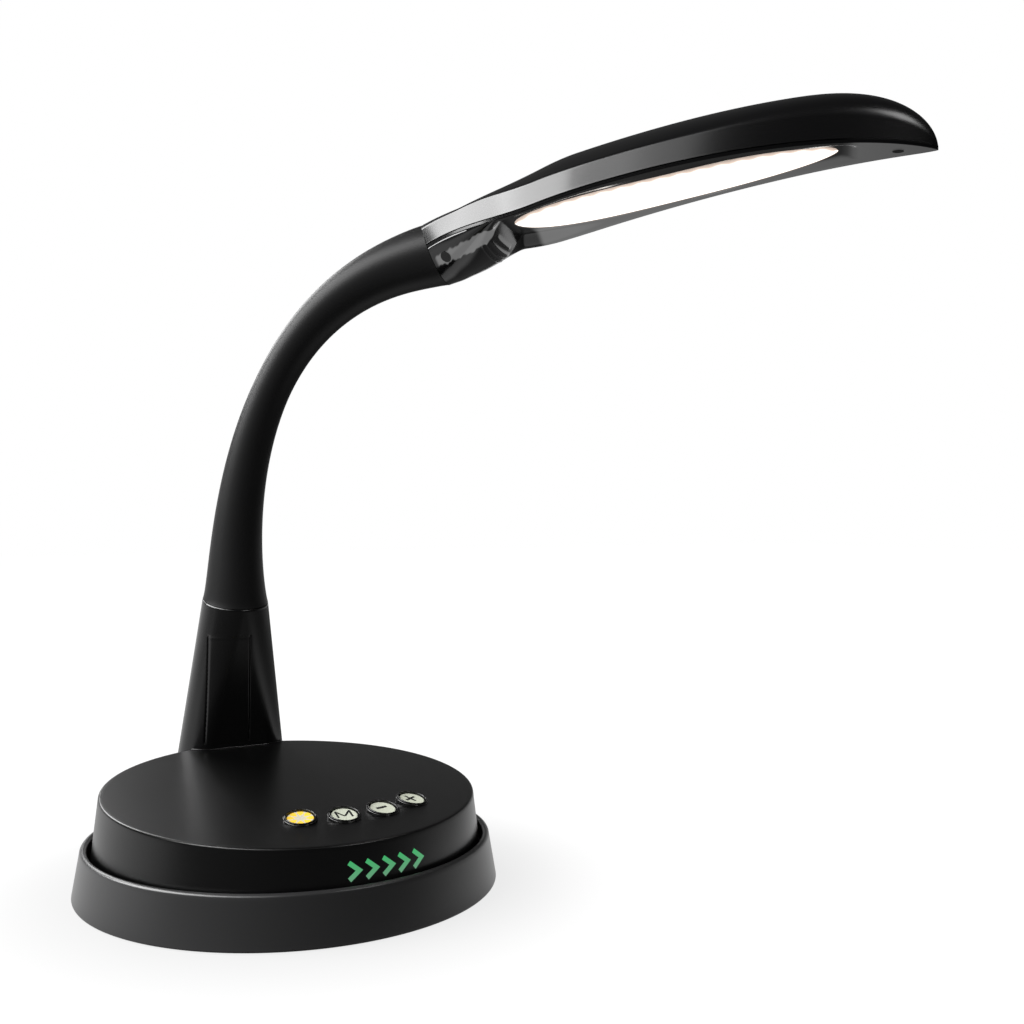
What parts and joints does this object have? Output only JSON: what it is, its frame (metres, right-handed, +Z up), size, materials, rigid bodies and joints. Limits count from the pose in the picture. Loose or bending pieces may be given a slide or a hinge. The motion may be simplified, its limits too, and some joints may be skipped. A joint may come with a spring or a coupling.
{
  "type": "led desk lamp",
  "caption": "LED desk lamp with a weighted turning base, touch buttons, lit level arrows, a flexible rubber neck and a long arched head with a leaf-shaped light",
  "frame": {"origin": "middle of the base's underside on the table", "axes": "+Z up, controls facing -Y, arm reaching toward +X and -Y"},
  "size_m": [0.3151, 0.2531, 0.3334],
  "materials": {
    "base_black": "glossy black moulded plastic",
    "drum_black": "satin black moulded plastic",
    "inner_black": "plain black plastic",
    "stem_black": "satin black moulded plastic",
    "bezel_black": "glossy black plastic",
    "head_black": "glossy black plastic",
    "panel_black": "mirror-glossy black plastic",
    "pad_rubber": "matt non-slip foam rubber",
    "neck_rubber": "matt charcoal rubber",
    "weight_steel": "plain steel plate",
    "zinc_steel": "zinc-plated steel",
    "dark_steel": "blackened steel",
    "nylon": "natural nylon",
    "board_green": "circuit board",
    "board_white": "white-coated aluminium board",
    "button_yellow": "lit yellow plastic",
    "button_pale": "pale grey-green plastic",
    "arrow_green": "lit green plastic",
    "led_cream": "LED packages",
    "light_white": "lit frosted plastic",
    "sink_aluminium": "extruded aluminium"
  },
  "bodies": {
    "base": {"base_ring": "base_black", "foot_pad": "pad_rubber", "steel_weight": "weight_steel", "pivot_spindle": "zinc_steel", "spindle_screws": "zinc_steel", "glide_ring": "nylon", "spindle_washer": "zinc_steel", "spindle_nut": "zinc_steel"},
    "drum": {"drum_shell": "drum_black", "drum_floor": "inner_black", "floor_screws": "zinc_steel", "control_board": "board_green", "tact_switches": "inner_black", "button_bezels": "bezel_black", "level_arrows": "arrow_green", "indicator_board": "board_green", "indicator_leds": "led_cream", "driver_board": "board_green", "power_jack": "inner_black", "stem_shell": "stem_black", "stem_cover": "stem_black", "stem_screws": "zinc_steel", "neck_ferrule": "zinc_steel", "neck_nut": "zinc_steel", "sleeve_1": "neck_rubber"},
    "power_button": {"power_button": "button_yellow"},
    "mode_button": {"mode_button": "button_pale"},
    "minus_button": {"minus_button": "button_pale"},
    "plus_button": {"plus_button": "button_pale"},
    "link_1": {"neck_link_1": "zinc_steel", "sleeve_2": "neck_rubber"},
    "link_2": {"neck_link_2": "zinc_steel", "sleeve_3": "neck_rubber"},
    "link_3": {"neck_link_3": "zinc_steel", "sleeve_4": "neck_rubber"},
    "link_4": {"neck_link_4": "zinc_steel", "sleeve_5": "neck_rubber"},
    "link_5": {"neck_link_5": "zinc_steel", "sleeve_6": "neck_rubber"},
    "link_6": {"neck_link_6": "zinc_steel", "sleeve_7": "neck_rubber"},
    "head": {"head_ferrule": "zinc_steel", "sleeve_8": "neck_rubber", "head_shell": "head_black", "head_panel": "panel_black", "light_diffuser": "light_white", "led_board": "board_white", "leds": "led_cream", "heat_sink": "sink_aluminium", "head_screws": "dark_steel"}
  },
  "joints": [
    {"name": "base_swivel", "type": "hinge", "parent": "base", "child": "drum", "pos_m": [0, 0, 0.0133], "axis": [0, 0, 1], "continuous": true},
    {"name": "power_press", "type": "slide", "parent": "drum", "child": "power_button", "axis": [0.0581, 0.2302, -0.9714], "range_m": [0, 0.0008], "stiffness_N_per_m": 900, "springref_m": -0.0004},
    {"name": "mode_press", "type": "slide", "parent": "drum", "child": "mode_button", "axis": [0.0092, 0.24, -0.9707], "range_m": [0, 0.0008], "stiffness_N_per_m": 900, "springref_m": -0.0004},
    {"name": "minus_press", "type": "slide", "parent": "drum", "child": "minus_button", "axis": [-0.0404, 0.2355, -0.971], "range_m": [0, 0.0008], "stiffness_N_per_m": 900, "springref_m": -0.0004},
    {"name": "plus_press", "type": "slide", "parent": "drum", "child": "plus_button", "axis": [-0.0867, 0.2171, -0.9723], "range_m": [0, 0.0008], "stiffness_N_per_m": 900, "springref_m": -0.0004},
    {"name": "neck_bend_1", "type": "hinge", "parent": "drum", "child": "link_1", "pos_m": [0.00008, 0.07592, 0.13226], "axis": [0.7071, 0.7071, 0], "range_deg": [-10, 14], "deforming": ["sleeve_1"]},
    {"name": "neck_sway_1", "type": "hinge", "parent": "link_1", "child": "link_2", "pos_m": [0.0019, 0.0741, 0.16136], "axis": [-0.6995, 0.6995, 0.1466], "range_deg": [-10, 10], "deforming": ["sleeve_2"]},
    {"name": "neck_bend_2", "type": "hinge", "parent": "link_2", "child": "link_3", "pos_m": [0.00632, 0.06968, 0.18989], "axis": [0.7071, 0.7071, 0], "range_deg": [-10, 14], "deforming": ["sleeve_3"]},
    {"name": "neck_sway_2", "type": "hinge", "parent": "link_3", "child": "link_4", "pos_m": [0.01397, 0.06203, 0.21699], "axis": [-0.6275, 0.6275, 0.461], "range_deg": [-10, 10], "deforming": ["sleeve_4"]},
    {"name": "neck_bend_3", "type": "hinge", "parent": "link_4", "child": "link_5", "pos_m": [0.02557, 0.05043, 0.24109], "axis": [0.7071, 0.7071, 0], "range_deg": [-10, 14], "deforming": ["sleeve_5"]},
    {"name": "neck_sway_3", "type": "hinge", "parent": "link_5", "child": "link_6", "pos_m": [0.04129, 0.03471, 0.2599], "axis": [-0.3743, 0.3743, 0.8484], "range_deg": [-10, 10], "deforming": ["sleeve_6"]},
    {"name": "neck_bend_4", "type": "hinge", "parent": "link_6", "child": "head", "pos_m": [0.06011, 0.01589, 0.27174], "axis": [0.7071, 0.7071, 0], "range_deg": [-10, 14], "deforming": ["sleeve_7", "sleeve_8"]}
  ],
  "couplings": [
    {"joint": "neck_bend_2", "follows": "neck_bend_1", "ratio": 1},
    {"joint": "neck_sway_2", "follows": "neck_sway_1", "ratio": 1},
    {"joint": "neck_bend_3", "follows": "neck_bend_1", "ratio": 1},
    {"joint": "neck_sway_3", "follows": "neck_sway_1", "ratio": 1},
    {"joint": "neck_bend_4", "follows": "neck_bend_1", "ratio": 1}
  ]
}
